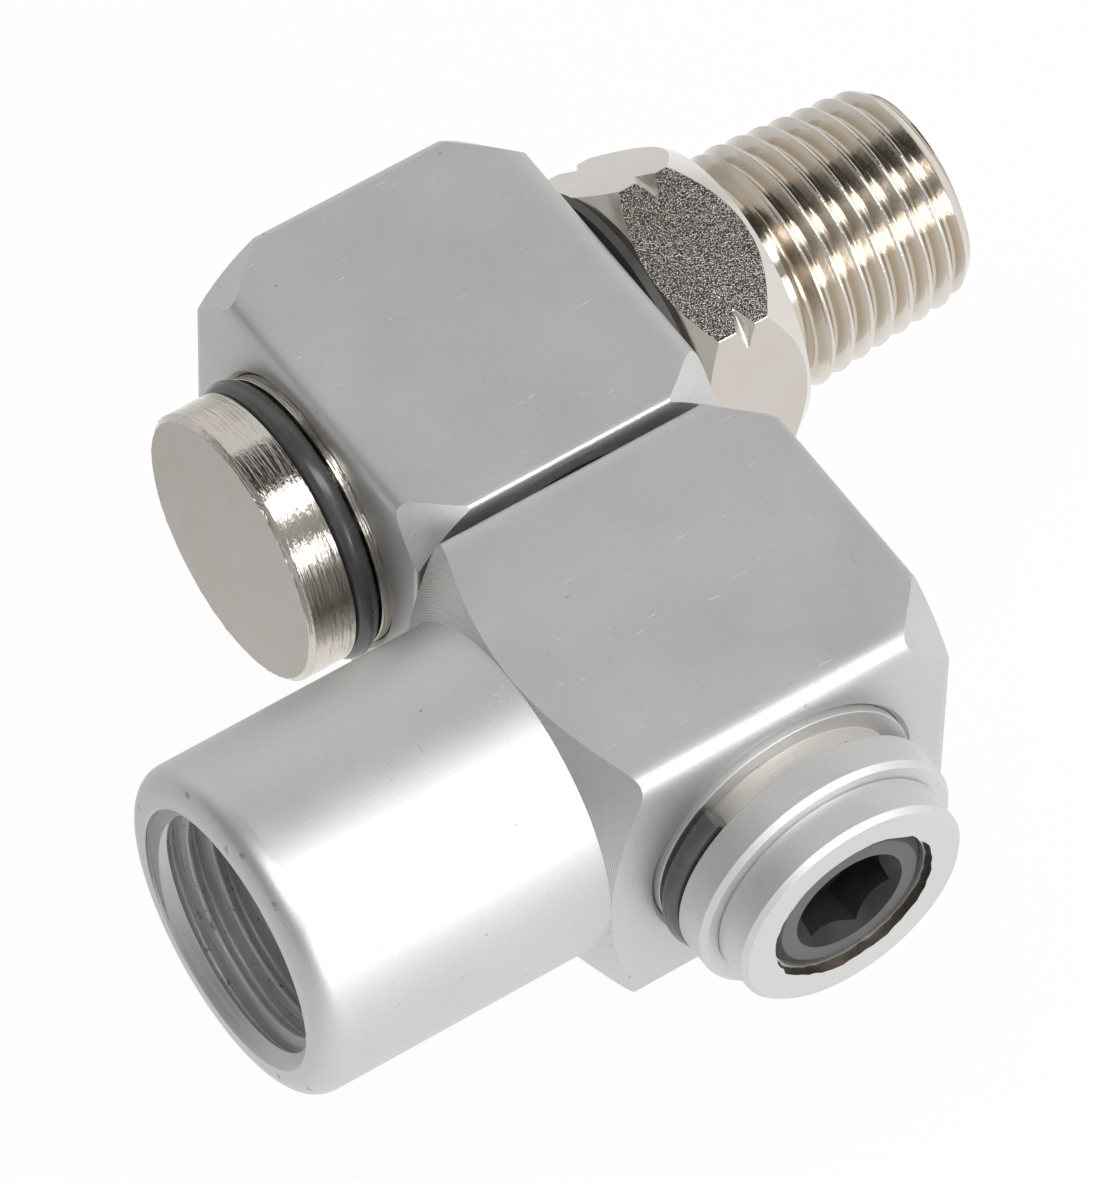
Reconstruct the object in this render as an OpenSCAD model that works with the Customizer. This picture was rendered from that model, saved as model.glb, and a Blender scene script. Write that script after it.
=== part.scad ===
// Two-axis swivel air connector with quarter-inch pipe threads, in millimetres.
// X runs along the male thread, Y along the spigot that the inlet block turns on, Z points up.
// The origin is on the thread's axis, in the plane where the taper thread has its gauge diameter.
// Places along a turned piece are measured from the point where the two swivel axes cross.

/* [Bar stock] */
// Width across the flats of the square bar that both blocks are turned from
bar_w = 19; // [17.5:0.5:21]
// Radius of the square bar's long edges
bar_edge_r = 0.9; // [0.3:0.1:1.5]
// How much narrower the spindle's hexagon bar is than the square bar, across the flats
hex_under_bar = 2; // [1.5:0.1:2.5]

/* [Swivel journals] */
// Radial step from the hexagon's flats down to the spindle's shaft, which the spigot matches
journal_step = 0.7; // [0.5:0.05:1]
// Radial running clearance of a journal in its bore
running_gap = 0.05; // [0.03:0.01:0.1]
// Chamfer at both mouths of a journal's bore
bore_chamfer = 0.25; // [0.1:0.05:0.4]
// Diameter of the waist that passes air between the seals
waist_d = 11; // [10:0.5:12]
// Length of the waist
waist_len = 7.6; // [6:0.2:8]
// Diameter of the air bore along each journal
air_bore_d = 7; // [5:0.5:7.5]
// Diameter of the cross drillings through each waist
cross_hole_d = 4.5; // [3:0.5:5.5]

/* [Seals and washers] */
// Cord diameter of the O-rings before they are squeezed
seal_cord_d = 1.8; // [1.5:0.1:2]
// Share of the cord's height that the gland takes up
seal_squeeze = 0.2; // [0.1:0.02:0.26]
// Clearance left between a seal and the bore that it seals
seal_gap = 0.04; // [0.03:0.01:0.08]
// Side room of a seal in its groove
gland_room = 0.3; // [0.1:0.1:0.4]
// Length of the land between the waist and a seal's groove
gland_land = 1.1; // [0.8:0.1:1.4]
// Thickness of the thrust washers
washer_t = 0.5; // [0.3:0.1:0.5]
// Radial width of the thrust washers
washer_w = 1; // [0.6:0.1:1.2]
// Radial clearance between a thrust washer and its journal
washer_gap = 0.1; // [0.05:0.05:0.3]

/* [Snap rings] */
// Diameter of the round wire of both snap rings
ring_wire_d = 1.4; // [1.2:0.1:1.5]
// How far a snap ring stands out of its journal
ring_stand = 0.3; // [0.2:0.05:0.4]
// Angle left open between the ends of a snap ring
ring_gap_angle = 124; // [60:1:150]
// Clearance between a snap ring and the floor of its groove
ring_floor_gap = 0.02; // [0.01:0.01:0.1]

/* [Outlet block] */
// Length from the spindle's axis to the end beside the inlet block
outlet_near = 10.4; // [10:0.1:11]
// Length from the spindle's axis to the free end
outlet_far = 10.5; // [10:0.1:12]
// Length of the turned chamfer on the bar's corners at the near end
near_chamfer_len = 2.2; // [1:0.1:3]
// Radial depth of that chamfer on the corners
near_chamfer_drop = 1.7; // [1:0.05:2.4]
// Length of the turned chamfer on the bar's corners at the free end
far_chamfer_len = 3.1; // [1:0.1:4]
// Radial depth of that chamfer on the corners
far_chamfer_drop = 2.05; // [1:0.05:2.4]
// Slot between the two blocks
block_gap = 0.55; // [0.5:0.05:1]

/* [Spigot end] */
// How far the spigot's land stands out of the inlet block
spigot_land_proud = 0.3; // [0.1:0.05:0.6]
// Width of the spigot's snap ring groove
spigot_groove_w = 1.75; // [1.6:0.05:2]
// Length of the flange beyond the groove
flange_len = 2.15; // [1.5:0.05:3]
// Bevel on the flange's outer edge
flange_bevel = 0.3; // [0.1:0.05:0.5]
// Diameter of the boss around the plug screw
boss_d = 13.7; // [12.5:0.1:14.5]
// Length of the boss
boss_len = 2.35; // [1.5:0.05:4]
// Chamfer on the boss's outer edge
boss_chamfer = 0.3; // [0.1:0.05:0.5]

/* [Plug screw] */
// Diameter of the plug screw
plug_d = 9.4; // [8.8:0.1:9.8]
// Length of the plug screw
plug_len = 5; // [4:0.1:6]
// Depth of the plug screw's face below the boss's face
plug_recess = 0.4; // [0.1:0.1:1]
// Clearance between the plug screw and its hole
plug_gap = 0.02; // [0.01:0.01:0.05]
// Chamfer on both ends of the plug screw
plug_chamfer = 0.5; // [0.2:0.1:0.8]
// Width across the flats of the hexagon socket
socket_af = 5; // [4:0.5:6]
// Depth of the hexagon socket
socket_depth = 2.8; // [2:0.1:3.2]
// Turn of the socket about the spigot's axis
socket_turn = 45.5; // [0:0.5:60]

/* [Inlet block] */
// Length from the spigot's axis to the plain end
inlet_end = 10.4; // [10:0.1:12]
// Length of the turned chamfer on the bar's corners at the plain end
inlet_chamfer_len = 2.9; // [1:0.1:4]
// Radial depth of that chamfer on the corners
inlet_chamfer_drop = 1.95; // [1:0.05:2.4]
// Length from the spigot's axis to the root of the turned shoulder
inlet_shoulder = 10.6; // [10:0.1:12]
// Axial fall of the shoulder's shallow cone from the bar's corners to the barrel
shoulder_fall = 1.9; // [1:0.1:2.5]
// How far the barrel's wall lies inside the bar's flats
barrel_cut = 0.05; // [0:0.05:0.5]
// Length of the barrel beyond the shoulder
barrel_len = 17.4; // [16:0.1:22]
// Rounding of the barrel's rim
rim_r = 1.4; // [0.5:0.1:1.8]
// Diameter of the countersink at the port's mouth
port_mouth_d = 14.9; // [13.8:0.1:15]
// Depth of the threaded port
port_depth = 13; // [11:0.5:14]
// Diameter of the air passage behind the port
passage_d = 8; // [6:0.5:9]

/* [Spindle] */
// Major diameter of both quarter-inch pipe threads, at the gauge plane of the male one
thread_d = 13.157; // [12.9:0.001:13.3]
// Length of the male thread
thread_len = 10.8; // [9:0.1:12]
// Distance from the small end of the male thread to its gauge plane
gauge_len = 6; // [5:0.1:7]
// Diameter of the male thread's end face
thread_end_d = 11.2; // [10:0.1:12]
// Length of the relief between the hexagon and the male thread
relief_len = 1.4; // [0.8:0.1:2]
// Diameter of the relief
relief_d = 11.8; // [11:0.1:12.5]
// Gap between the outlet block and the hexagon
hex_gap = 0.8; // [0.6:0.1:1.2]
// Length of the hexagon
hex_len = 6.7; // [6:0.1:9]
// Radial amount turned off over the hexagon's corners
hex_corner_cut = 0.115; // [0.05:0.005:0.2]
// How far the hexagon's end circles lie inside its flats
hex_face_margin = 0.25; // [0.1:0.05:0.5]
// Length of the chamfer on the corners beside the outlet block
hex_rear_chamfer = 1.4; // [0.8:0.1:2]
// Length of the chamfer on the corners beside the thread
hex_front_chamfer = 2.2; // [1:0.1:2.4]
// Place of the V groove in the corners, from the hexagon's rear face
hex_groove_at = 3.1; // [2.6:0.1:3.4]
// Depth of the V groove in the corners
hex_groove_depth = 0.6; // [0.3:0.05:0.7]
// Turn of the hexagon about the thread axis at rest
hex_turn = 16; // [0:1:30]
// How far the shaft's land stands out of the outlet block
spindle_land_proud = 0.4; // [0.1:0.05:0.6]
// Width of the spindle's snap ring groove
spindle_groove_w = 1.6; // [1.55:0.05:2]
// Length of the spindle's head disc
head_len = 2.8; // [2:0.1:4]
// Chamfer on the head disc's edge
head_chamfer = 0.25; // [0.1:0.05:0.5]

/* [Hidden] */
$fn = 96;
// How far a cutter runs past the surface that it cuts
over = 1;
// Point angle of the drills
drill_angle = 118;
// Direction of the spindle ring's opening, from straight down toward +Y
spindle_ring_opening = 30;
// Direction of the spigot ring's opening, from +X toward +Z
spigot_ring_opening = 71;
bar_half = bar_w / 2;
bar_corner_r = (bar_half - bar_edge_r) * sqrt(2) + bar_edge_r;
hex_af = bar_w - hex_under_bar;
journal_r = hex_af / 2 - journal_step;
bore_r = journal_r + running_gap;
thread_r = thread_d / 2;
barrel_r = bar_half - barrel_cut;
// Squeezed seal: the flattened section keeps the area of the free cord
seal_h = seal_cord_d * (1 - seal_squeeze);
seal_flat = PI * (pow(seal_cord_d, 2) - pow(seal_h, 2)) / 4 / seal_h;
gland_w = seal_h + seal_flat + gland_room;
gland_r = bore_r - seal_gap - seal_h;
seal_mid_r = gland_r + seal_h / 2;
gland_from = waist_len / 2 + gland_land;
gland_to = gland_from + gland_w;
seal_offset = gland_from + gland_w / 2;
// Snap rings
ring_mid_r = journal_r + ring_stand - ring_wire_d / 2;
ring_floor_r = ring_mid_r - ring_wire_d / 2 - ring_floor_gap;
// Along the spigot, toward -Y
inlet_y = -(outlet_near + block_gap + bar_half);
spigot_land_y = inlet_y - bar_half - spigot_land_proud;
flange_y = spigot_land_y - spigot_groove_w;
boss_y = flange_y - flange_len;
spigot_end_y = boss_y - boss_len;
plug_face_y = spigot_end_y + plug_recess;
plug_hole_y = plug_face_y + plug_len + plug_gap;
// Along the spindle, toward +X
hex_x = bar_half + hex_gap;
hex_face_x = hex_x + hex_len;
thread_x = hex_face_x + relief_len;
thread_end_x = thread_x + thread_len;
gauge_x = thread_end_x - gauge_len;
hex_corner_r = hex_af / 2 / cos(30) - hex_corner_cut;
hex_face_r = hex_af / 2 - hex_face_margin;
// Along the spindle, toward -X
spindle_land_x = -bar_half - spindle_land_proud;
head_x = spindle_land_x - spindle_groove_w;
head_end_x = head_x - head_len;
// Along the inlet block's barrel, toward -X
mouth_x = -(inlet_shoulder + barrel_len);
port_end_x = mouth_x + port_depth;

ALUMINIUM = [0.78, 0.79, 0.80];
NICKEL = [0.72, 0.69, 0.65];
BLACK_STEEL = [0.16, 0.16, 0.17];
RUBBER = [0.07, 0.07, 0.07];
WASHER = [0.45, 0.42, 0.38];

// Moves a piece from the crossing of the swivel axes to the part's own origin
module placed() { translate([-gauge_x, 0, 0]) children(); }
// Turns +Z of a piece to +X, and its +X to straight down
module along_x() { rotate([0, 90, 0]) children(); }
// Turns +Z of a piece to +Y, and keeps its +X
module along_y() { rotate([-90, 0, 0]) children(); }

// Solid of revolution about Z through a list of [height, radius] stations
module turned(stations) { rotate_extrude() turned_outline(stations); }

// Half section of such a solid, closed along the axis
module turned_outline(stations) {
    first = stations[0];
    last = stations[len(stations) - 1];
    polygon(concat(
        first[1] > 0 ? [[0, first[0]]] : [],
        [for (s = stations) [s[1], s[0]]],
        last[1] > 0 ? [[0, last[0]]] : []));
}

// Straight stretch of the square bar between two heights
module square_bar(from, to) {
    flat = bar_w - 2 * bar_edge_r;
    translate([0, 0, from]) linear_extrude(to - from) {
        square([bar_w, flat], center = true);
        square([flat, bar_w], center = true);
        for (sx = [-1, 1], sy = [-1, 1])
            translate([sx, sy] * flat / 2) circle(bar_edge_r);
    }
}

// Straight stretch of the hexagon bar between two heights
module hexagon_bar(af, from, to) {
    translate([0, 0, from]) linear_extrude(to - from) circle(af / 2 / cos(30), $fn = 6);
}

// Stations of a turned chamfer that cuts a square bar's corners by drop over length len,
// from the end at height end; dir is +1 where the bar lies above the end
function bar_chamfer(end, len, drop, dir) =
    let (rise = over * len / drop)
    [[end, bar_corner_r - drop], [end + dir * (len + rise), bar_corner_r + over]];

// The same stations in the opposite order
function flipped(stations) = [for (i = [len(stations) - 1:-1:0]) stations[i]];

// Stations of the waist and the two seal grooves of a journal, about height mid
function journal(mid) =
    let (half = [[waist_len / 2, waist_d / 2], [waist_len / 2, journal_r], [gland_from, journal_r],
                 [gland_from, gland_r], [gland_to, gland_r], [gland_to, journal_r]])
    concat([for (s = flipped(half)) [mid - s[0], s[1]]], [for (s = half) [mid + s[0], s[1]]]);

// Cutter for a journal's bore through a block's width, with both mouths chamfered
module journal_bore() {
    mouth_r = bore_r + bore_chamfer + over;
    straight = bar_half - bore_chamfer;
    turned([[-bar_half - over, mouth_r], [-straight, bore_r], [straight, bore_r],
            [bar_half + over, mouth_r]]);
}

// Cutter for the two crossed drillings through a waist at height mid
module cross_drillings(mid) {
    for (turn = [0, 90])
        translate([0, 0, mid]) rotate([90, 0, turn]) cylinder(h = 2 * journal_r, d = cross_hole_d, center = true);
}

// O-ring squeezed between its groove and the bore, at height mid
module seal(mid) {
    translate([0, 0, mid]) rotate_extrude() translate([seal_mid_r, 0]) {
        square([seal_h, seal_flat], center = true);
        for (side = [-1, 1]) translate([0, side * seal_flat / 2]) circle(d = seal_h);
    }
}

// Thrust washer that lies on height from
module thrust_washer(from) {
    translate([0, 0, from]) rotate_extrude()
        translate([journal_r + washer_gap, 0]) square([washer_w, washer_t]);
}

// Open snap ring of round wire at height mid, its opening centred on angle opening
module snap_ring(mid, opening) {
    translate([0, 0, mid]) rotate([0, 0, opening + ring_gap_angle / 2])
        rotate_extrude(angle = 360 - ring_gap_angle)
            translate([ring_mid_r, 0]) circle(d = ring_wire_d);
}

// Stations of a snap ring's groove in a journal, from height near to height far
function ring_groove(near, far) =
    [[near, journal_r], [near, ring_floor_r], [far, ring_floor_r], [far, journal_r]];

// Spindle: head disc, sealed shaft, hexagon and male thread, turned in one piece from hexagon bar
module male_spindle() {
    thread_chamfer = thread_r - thread_end_d / 2;
    blind_x = -(cross_hole_d + over) / 2;
    bore_tip = air_bore_d / 2 / tan(drill_angle / 2);
    color(NICKEL) placed() along_x() difference() {
        intersection() {
            rotate([0, 0, 30 + hex_turn]) hexagon_bar(hex_af, head_end_x - over, thread_end_x + over);
            turned(concat(
                [[head_end_x, journal_r - head_chamfer], [head_end_x + head_chamfer, journal_r]],
                ring_groove(head_x, spindle_land_x),
                journal(0),
                [[hex_x, journal_r]],
                hexagon_turning(),
                [[hex_face_x, relief_d / 2], [thread_x, relief_d / 2], [thread_x, thread_r],
                 [thread_end_x - thread_chamfer, thread_r], [thread_end_x, thread_end_d / 2]]));
        }
        turned([[blind_x - bore_tip, 0], [blind_x, air_bore_d / 2], [thread_end_x + over, air_bore_d / 2]]);
        cross_drillings(0);
    }
}

// Stations of the hexagon's turned outline: a chamfer at both ends and a V groove in the corners
function hexagon_turning() =
    let (groove_x = hex_x + hex_groove_at)
    [[hex_x, hex_face_r], [hex_x + hex_rear_chamfer, hex_corner_r],
     [groove_x - hex_groove_depth, hex_corner_r], [groove_x, hex_corner_r - hex_groove_depth],
     [groove_x + hex_groove_depth, hex_corner_r], [hex_face_x - hex_front_chamfer, hex_corner_r],
     [hex_face_x, hex_face_r]];

module spindle_snap_ring() {
    color(BLACK_STEEL) placed() along_x()
        snap_ring((head_x + spindle_land_x) / 2, spindle_ring_opening);
}

module spindle_front_seal() { color(RUBBER) placed() along_x() seal(seal_offset); }

module spindle_rear_seal() { color(RUBBER) placed() along_x() seal(-seal_offset); }

module spindle_thrust_washer() { color(WASHER) placed() along_x() thrust_washer(hex_x - washer_t); }

// Outlet block: a square bar with the spindle's bore across it and the spigot turned on its near end
module outlet_block() {
    hole_r = plug_d / 2 + plug_gap;
    color(ALUMINIUM) placed() along_y() difference() {
        intersection() {
            square_bar(spigot_end_y - over, outlet_far + over);
            turned(concat(
                [[spigot_end_y, boss_d / 2 - boss_chamfer], [spigot_end_y + boss_chamfer, boss_d / 2],
                 [boss_y, boss_d / 2], [boss_y, journal_r - flange_bevel], [boss_y + flange_bevel, journal_r]],
                ring_groove(flange_y, spigot_land_y),
                journal(inlet_y),
                [[-outlet_near, journal_r]],
                bar_chamfer(-outlet_near, near_chamfer_len, near_chamfer_drop, 1),
                flipped(bar_chamfer(outlet_far, far_chamfer_len, far_chamfer_drop, -1))));
        }
        rotate([0, 90, 0]) journal_bore();
        turned([[spigot_end_y - over, hole_r], [plug_hole_y, hole_r], [plug_hole_y, air_bore_d / 2],
                [0, air_bore_d / 2]]);
        cross_drillings(inlet_y);
    }
}

module spigot_inner_seal() { color(RUBBER) placed() along_y() seal(inlet_y + seal_offset); }

module spigot_outer_seal() { color(RUBBER) placed() along_y() seal(inlet_y - seal_offset); }

module spigot_thrust_washer() { color(WASHER) placed() along_y() thrust_washer(-outlet_near - washer_t); }

module spigot_snap_ring() {
    color(BLACK_STEEL) placed() along_y() snap_ring((flange_y + spigot_land_y) / 2, -spigot_ring_opening);
}

// Plug screw that closes the spigot's air bore, with a hexagon socket in its outer face
module plug_screw() {
    plug_r = plug_d / 2;
    color(BLACK_STEEL) placed() along_y() difference() {
        turned([[plug_face_y, plug_r - plug_chamfer], [plug_face_y + plug_chamfer, plug_r],
                [plug_face_y + plug_len - plug_chamfer, plug_r],
                [plug_face_y + plug_len, plug_r - plug_chamfer]]);
        rotate([0, 0, -socket_turn]) hexagon_bar(socket_af, plug_face_y - over, plug_face_y + socket_depth);
    }
}

// Inlet block: a square bar turned down to the barrel, with the spigot's bore across it
module inlet_block() {
    color(ALUMINIUM) placed() translate([0, inlet_y, 0]) difference() {
        along_x() intersection() {
            square_bar(mouth_x - over, inlet_end + over);
            rotate_extrude() difference() {
                turned_outline(concat(
                    [[mouth_x, barrel_r], [-inlet_shoulder, barrel_r], shoulder_top()],
                    flipped(bar_chamfer(inlet_end, inlet_chamfer_len, inlet_chamfer_drop, -1))));
                rim_cut();
            }
        }
        along_y() journal_bore();
        along_x() port_cutter();
    }
}

// Station where the shoulder's shallow cone has passed the bar's corners
function shoulder_top() =
    let (rise = over * shoulder_fall / (bar_corner_r - barrel_r))
    [-inlet_shoulder + shoulder_fall + rise, bar_corner_r + over];

// Half section of the cut that leaves the barrel's rim rounded
module rim_cut() {
    translate([barrel_r - rim_r, mouth_x + rim_r]) difference() {
        translate([0, -rim_r - over]) square([rim_r + over, rim_r + over]);
        circle(rim_r);
    }
}

// Cutter for the threaded port, its countersink and the air passage to the spigot's bore
module port_cutter() {
    drill_run = (thread_r - passage_d / 2) / tan(drill_angle / 2);
    sink = port_mouth_d / 2 - thread_r;
    turned([[mouth_x - over, port_mouth_d / 2 + over], [mouth_x + sink, thread_r],
            [port_end_x, thread_r], [port_end_x + drill_run, passage_d / 2], [0, passage_d / 2]]);
}

male_spindle();
spindle_snap_ring();
spindle_front_seal();
spindle_rear_seal();
spindle_thrust_washer();
outlet_block();
spigot_inner_seal();
spigot_outer_seal();
spigot_thrust_washer();
spigot_snap_ring();
plug_screw();
inlet_block();
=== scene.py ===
"""Looks of a two-axis swivel air connector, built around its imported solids.

Lengths in the classes are millimetres, measured from the point where the two swivel axes
cross: X runs along the male thread, Y along the spigot and Z points up. A finished piece is
scaled to metres and moved to the frame's own origin, in the male thread's gauge plane.
"""
import logging
import math
from contextlib import contextmanager
from dataclasses import dataclass, field
from enum import Enum
from functools import cache
from typing import Any, Callable, Iterator

import bpy
from mathutils import Matrix, Vector


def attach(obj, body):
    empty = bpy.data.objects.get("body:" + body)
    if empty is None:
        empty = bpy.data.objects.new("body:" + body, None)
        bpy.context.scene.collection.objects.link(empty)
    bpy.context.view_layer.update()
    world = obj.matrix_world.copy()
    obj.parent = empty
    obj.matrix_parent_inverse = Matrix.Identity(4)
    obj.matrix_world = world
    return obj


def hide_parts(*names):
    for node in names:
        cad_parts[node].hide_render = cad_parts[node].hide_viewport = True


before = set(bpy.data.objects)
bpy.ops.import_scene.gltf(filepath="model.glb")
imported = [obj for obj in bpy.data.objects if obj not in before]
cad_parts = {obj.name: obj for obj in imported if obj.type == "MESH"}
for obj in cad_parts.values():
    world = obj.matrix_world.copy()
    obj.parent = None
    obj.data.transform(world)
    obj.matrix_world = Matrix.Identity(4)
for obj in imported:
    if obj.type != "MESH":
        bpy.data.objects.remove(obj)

LOG = logging.getLogger("swivel_connector")
MM = 0.001
QUARTER = math.pi / 2
GAUGE_X = 23.2
INLET_Y = -20.45
CROSSING = (0.0, 0.0, 0.0)

# How solids are cut: reach past a surface, welding distance, and strips around
OVER = 1.0
WELD = 0.0008
SPIN_STEPS = 160
FINE_STEPS = 96
WIRE_STEPS = 110
DRILL_POINT = math.radians(59)

# Edges: the roll of a bar's long edges, eased corners and smooth shading
EDGE_ROLL = 2.4
EDGE_CUTS = 14
EDGE_PROFILE = 0.75
END_CUTS = 9
EDGE = 0.07
SIDE_SHARE = 0.42
BLUNT = math.radians(12)
SMOOTH = math.radians(31)

# Aluminium: scratches as stretch, turn and rarity, then tones and depths
SCRATCHES = (((1.8, 0.12, 1.8), (12, 25, 37), 0.765), ((0.12, 1.4, 1.4), (-20, 8, -12), 0.772))
GRAIN_TONE = (0.35, 0.35, 0.345)
# Dents are wear, painted darker also as the shade inside them
DENT_WEAR_AND_SHADE_TONE = (0.27, 0.25, 0.23)
GRAIN_DEPTH = 0.0055
SCRATCH_DEPTH = 0.008
DENT_TO_SCRATCH = 4.0

Station = tuple[float, float]
Triple = tuple[float, float, float]
Colour = tuple[float, float, float]
Piece = bpy.types.Object
Face = bpy.types.MeshPolygon
Socket = bpy.types.NodeSocket
Test = Callable[[Any], bool]
ANY = (-math.inf, math.inf)


def below(limit: float) -> Station:
    """Range of everything below a limit."""
    return (-math.inf, limit)


def above(limit: float) -> Station:
    """Range of everything above a limit."""
    return (limit, math.inf)


class Axis(Enum):
    """Direction that a turned piece runs in."""

    X = (1.0, 0.0, 0.0)
    Y = (0.0, 1.0, 0.0)

    @property
    def vector(self) -> Vector:
        """Unit vector along the axis."""
        return Vector(self.value)

    @property
    def way(self) -> int:
        """Sense of a turn from the other level axis toward Z."""
        return 1 if self is Axis.X else -1

    def place(self, along: float, radius: float) -> Vector:
        """Point at a height along the axis, a radius above it."""
        return self.vector * along + Vector((0.0, 0.0, radius))

    def stretch(self, length: float, across: float) -> Vector:
        """Size of a bar of this direction, with the same width both ways across."""
        return Vector(length if part else across for part in self.value)


class Element(Enum):
    """Kind of mesh element that a selection picks."""

    EDGE = "edges"
    FACE = "polygons"


class Join(Enum):
    """How other solids act on the first."""

    LESS = "DIFFERENCE"
    SHARED = "INTERSECT"
    MORE = "UNION"


# Workbench


def clear_selection() -> None:
    """Leaves edit mode and deselects every object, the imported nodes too."""
    if bpy.context.object and bpy.context.object.mode != "OBJECT":
        bpy.ops.object.mode_set(mode="OBJECT")
    bpy.ops.object.select_all(action="DESELECT")


def pick(piece: Piece) -> None:
    """Makes a piece the active object and the only one that is selected."""
    clear_selection()
    piece.select_set(True)
    bpy.context.view_layer.objects.active = piece


def apply_place(piece: Piece) -> None:
    """Moves an object's place, turn and scale into its mesh."""
    pick(piece)
    bpy.ops.object.transform_apply(location=True, rotation=True, scale=True)


def add(name: str, shape: Callable[..., Any], **settings: Any) -> Piece:
    """Adds a plain shape and settles its place in its mesh.

    Args:
        name: Name of the new object.
        shape: Operator that adds the shape.
        **settings: The operator's settings.

    Returns:
        The new object.
    """
    clear_selection()
    shape(**settings)
    piece = bpy.context.object
    piece.name = piece.data.name = name
    apply_place(piece)
    return piece


@contextmanager
def editing(piece: Piece) -> Iterator[None]:
    """Opens a piece in edit mode with all of it selected, and closes it afterwards."""
    pick(piece)
    bpy.ops.object.mode_set(mode="EDIT")
    bpy.ops.mesh.select_mode(type="VERT")
    bpy.ops.mesh.select_all(action="SELECT")
    try:
        yield
    finally:
        bpy.ops.object.mode_set(mode="OBJECT")


@contextmanager
def chosen(piece: Piece, kind: Element, test: Test) -> Iterator[None]:
    """Opens a piece in edit mode with only some of its edges or faces selected.

    Args:
        piece: The object whose mesh is edited.
        kind: Whether edges or faces are picked.
        test: Says of one edge or face whether it is picked.
    """
    with editing(piece):
        bpy.ops.mesh.select_mode(type=kind.name)
        bpy.ops.mesh.select_all(action="DESELECT")
        bpy.ops.object.mode_set(mode="OBJECT")
        for part in getattr(piece.data, kind.value):
            part.select = test(part)
        bpy.ops.object.mode_set(mode="EDIT")
        yield


def zone(axis: Axis, along: Station = ANY, out: Station = ANY, slope: Station = ANY) -> Test:
    """Picks faces by their place and slope about an axis.

    Args:
        axis: Axis of the turned piece.
        along: Range of the face's height along the axis.
        out: Range of its distance from the axis.
        slope: Range of its normal's part along the axis.

    Returns:
        A test that is true of the faces within all ranges.
    """
    def within(face: Face) -> bool:
        """Tells whether a face lies in the zone."""
        height = face.center.dot(axis.vector)
        distance = (face.center - axis.vector * height).length
        values = (height, distance, face.normal.dot(axis.vector))
        return all(low < at < high for (low, high), at in zip((along, out, slope), values))

    return within


def apply_modifier(piece: Piece, kind: str, **settings: Any) -> None:
    """Adds a modifier and applies it.

    Args:
        piece: The object that is changed.
        kind: Blender's name of the modifier's type.
        **settings: Properties of the modifier.
    """
    pick(piece)
    modifier = piece.modifiers.new(kind.lower(), kind)
    for name, value in settings.items():
        setattr(modifier, name, value)
    bpy.ops.object.modifier_apply(modifier=modifier.name)


def combine(piece: Piece, join: Join, *tools: Piece) -> None:
    """Cuts, trims or joins a piece with other solids, which are used up.

    Args:
        piece: The solid that stays.
        join: How the others act.
        *tools: The solids that act on it, one after another.
    """
    for tool in tools:
        apply_modifier(piece, "BOOLEAN", operation=join.value, object=tool, solver="EXACT")
        bpy.data.objects.remove(tool)


def weld(piece: Piece, reach: float = WELD) -> None:
    """Merges vertices that lie within reach of each other."""
    with editing(piece):
        bpy.ops.mesh.remove_doubles(threshold=reach)


def face_outwards(piece: Piece) -> None:
    """Turns all faces of a closed mesh outwards."""
    with editing(piece):
        bpy.ops.mesh.normals_make_consistent(inside=False)


def eased(stations: list[Station], radius: float = EDGE, cuts: int = 3) -> list[Station]:
    """Rounds the corners of a turned outline.

    Args:
        stations: Heights and radii of the outline, in order.
        radius: Rounding of a corner, made smaller where its sides are short.
        cuts: Number of straight stretches in each rounding.

    Returns:
        The outline with each inner corner replaced by a short arc.
    """
    points = [Vector(station) for station in stations]
    result = [points[0]]
    for before, corner, after in zip(points, points[1:], points[2:]):
        back, ahead = before - corner, after - corner
        turn = math.pi - back.angle(ahead, math.pi)
        if turn < BLUNT:
            result.append(corner)
            continue
        reach = min(radius * math.tan(turn / 2), SIDE_SHARE * back.length,
                    SIDE_SHARE * ahead.length)
        first, last = corner + back.normalized() * reach, corner + ahead.normalized() * reach
        for cut in range(cuts + 1):
            t = cut / cuts
            result.append(first * (1 - t) ** 2 + corner * 2 * t * (1 - t) + last * t ** 2)
    result.append(points[-1])
    return [(point.x, point.y) for point in result]


def mirrored(half: list[Station], middle: float = 0.0) -> list[Station]:
    """Completes an outline that is the same on both sides of a middle height."""
    return [(middle - h, r) for h, r in reversed(half)] + [(middle + h, r) for h, r in half]


def wire(name: str, spots: list[Vector]) -> Piece:
    """Draws a chain of edges.

    Args:
        name: Name of the new object.
        spots: Places that the chain runs through.

    Returns:
        An object with the edges alone.
    """
    piece = add(name, bpy.ops.mesh.primitive_plane_add, size=0.5, location=(0, 0, 0))
    with editing(piece):
        bpy.ops.mesh.merge(type="CENTER")
        spot = spots[0].copy()
        bpy.ops.transform.translate(value=spot)
        for target in spots[1:]:
            step = target - spot
            bpy.ops.mesh.extrude_vertices_move(TRANSFORM_OT_translate={"value": step})
            spot += step
    return piece


def turned(name: str, stations: list[Station], axis: Axis, steps: int = SPIN_STEPS) -> Piece:
    """Turns a solid from a wire that is spun about an axis.

    Args:
        name: Name of the new object.
        stations: Heights along the axis and radii; the first and last lie on the axis.
        axis: Axis of the spin.
        steps: Number of flat strips around the solid.

    Returns:
        A closed solid.
    """
    piece = wire(name, [axis.place(*station) for station in stations])
    with editing(piece):
        bpy.ops.mesh.spin(steps=steps, angle=math.tau, center=(0, 0, 0), axis=axis.vector)
    weld(piece)
    face_outwards(piece)
    return piece


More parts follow.
